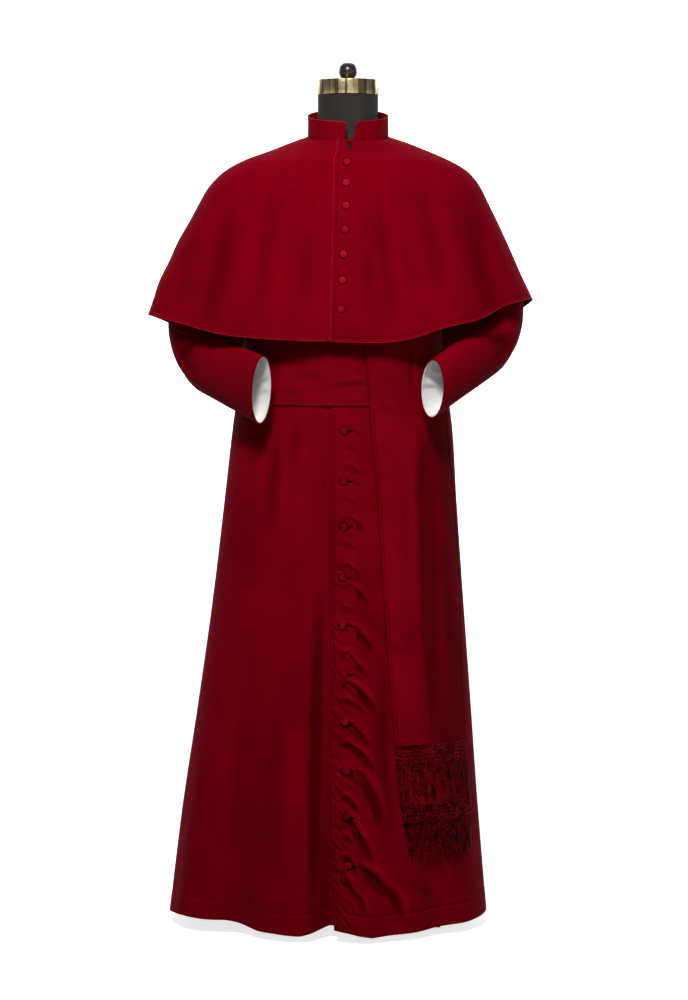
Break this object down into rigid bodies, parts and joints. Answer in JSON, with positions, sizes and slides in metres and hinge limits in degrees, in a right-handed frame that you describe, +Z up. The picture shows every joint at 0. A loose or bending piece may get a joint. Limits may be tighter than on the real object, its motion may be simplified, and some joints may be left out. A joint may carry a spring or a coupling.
{
  "type": "cassock on a dress form",
  "caption": "Full-length crimson cassock with a buttoned shoulder cape, white-lined bent sleeves and a fringed waist sash, worn by a limbless dress form on a steel stand.",
  "frame": {"origin": "on the floor, at the middle of the base's underside, below the pole", "axes": "+Z up the pole, the garment's front faces -Y, and +X points to the wearer's left"},
  "size_m": [0.6795, 0.3811, 1.5344],
  "materials": {
    "crimson_wool": "smooth crimson wool, matt with a faint sheen",
    "crimson_silk": "ribbed crimson silk, low sheen",
    "fringe_silk": "dark crimson twisted silk cord",
    "white_lining": "plain white cotton, matt",
    "form_cloth": "dark grey jersey, matt",
    "brass": "polished, slightly tarnished",
    "black_wood": "black lacquer, satin",
    "black_steel": "black enamel, satin"
  },
  "bodies": {
    "root": {"front_right": "crimson_wool", "front_left": "crimson_wool", "back_right": "crimson_wool", "back_left": "crimson_wool", "sleeve_right_top": "crimson_wool", "sleeve_right_under": "crimson_wool", "sleeve_left_top": "crimson_wool", "sleeve_left_under": "crimson_wool", "collar": "crimson_wool", "cape_right": "crimson_wool", "cape_left": "crimson_wool", "sash_band": "crimson_silk", "fall_front": "crimson_silk", "fall_back": "crimson_silk", "front_button_1": "crimson_silk", "front_button_2": "crimson_silk", "front_button_3": "crimson_silk", "front_button_4": "crimson_silk", "front_button_5": "crimson_silk", "front_button_6": "crimson_silk", "front_button_7": "crimson_silk", "front_button_8": "crimson_silk", "front_button_9": "crimson_silk", "front_button_10": "crimson_silk", "cape_button_1": "crimson_silk", "cape_button_2": "crimson_silk", "cape_button_3": "crimson_silk", "cape_button_4": "crimson_silk", "cape_button_5": "crimson_silk", "cape_button_6": "crimson_silk", "cape_button_7": "crimson_silk", "fringe_front": "fringe_silk", "fringe_back": "fringe_silk", "cuff_lining_right": "white_lining", "cuff_lining_left": "white_lining", "collar_hook": "black_steel", "form_torso": "form_cloth", "neck_ring": "brass", "neck_knob": "black_wood", "stand_pole": "black_steel", "stand_base": "black_steel"}
  },
  "joints": []
}
